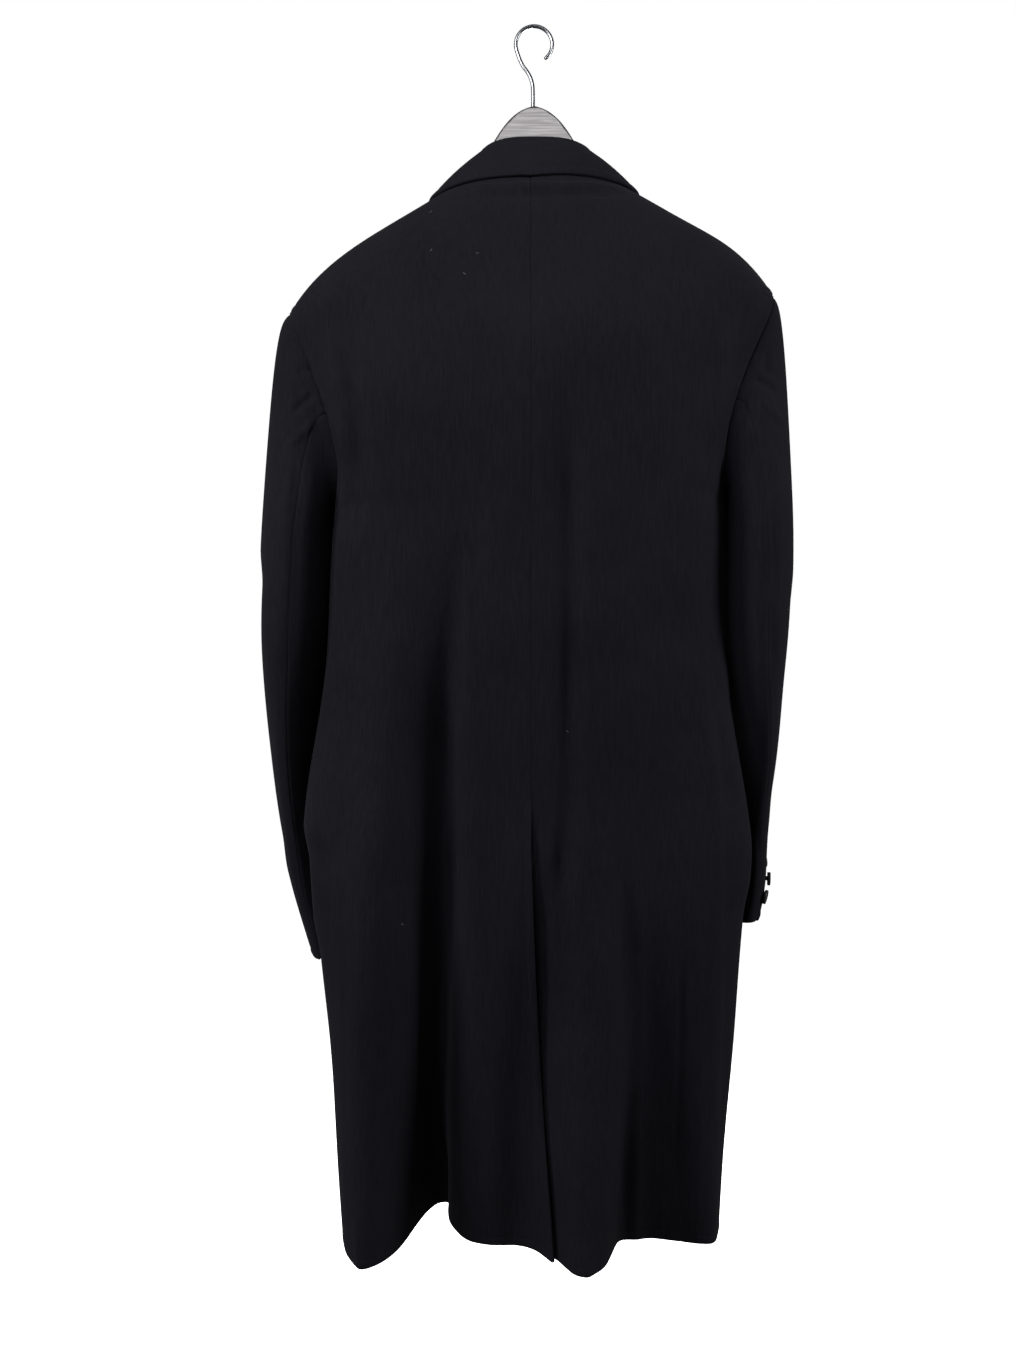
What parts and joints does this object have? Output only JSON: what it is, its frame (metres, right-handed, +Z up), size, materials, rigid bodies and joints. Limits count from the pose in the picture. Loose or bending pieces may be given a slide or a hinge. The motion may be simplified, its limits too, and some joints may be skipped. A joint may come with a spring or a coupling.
{
  "type": "overcoat on a hanger",
  "caption": "Knee-length tailored wool overcoat with a notched collar, back vent and long sleeves, hung closed on a shaped wooden hanger with a wire hook.",
  "frame": {"origin": "the inside of the hook's crown, where a rail carries the hanger", "axes": "+Z up along the hanging coat; +X towards the wearer's left; +Y towards the back of the coat, so the front faces -Y"},
  "size_m": [0.534, 0.3278, 1.1873],
  "materials": {
    "wool_coating": "napped wool and cashmere coating, matt with a faint sheen",
    "horn_button": "dark polished horn",
    "hanger_wood": "grey-washed wood with a charcoal edge",
    "hook_wire": "bright plated steel wire"
  },
  "bodies": {
    "root": {"back_left": "wool_coating", "back_right": "wool_coating", "front_left": "wool_coating", "front_right": "wool_coating", "sleeve_top_left": "wool_coating", "sleeve_top_right": "wool_coating", "sleeve_under_left": "wool_coating", "sleeve_under_right": "wool_coating", "collar_stand": "wool_coating", "collar_leaf": "wool_coating", "lapel_left": "wool_coating", "lapel_right": "wool_coating", "front_button_1": "horn_button", "front_button_2": "horn_button", "front_button_3": "horn_button", "cuff_button_left_1": "horn_button", "cuff_button_left_2": "horn_button", "cuff_button_left_3": "horn_button", "cuff_button_right_1": "horn_button", "cuff_button_right_2": "horn_button", "cuff_button_right_3": "horn_button", "hanger_body": "hanger_wood", "hanger_hook": "hook_wire"}
  },
  "joints": []
}
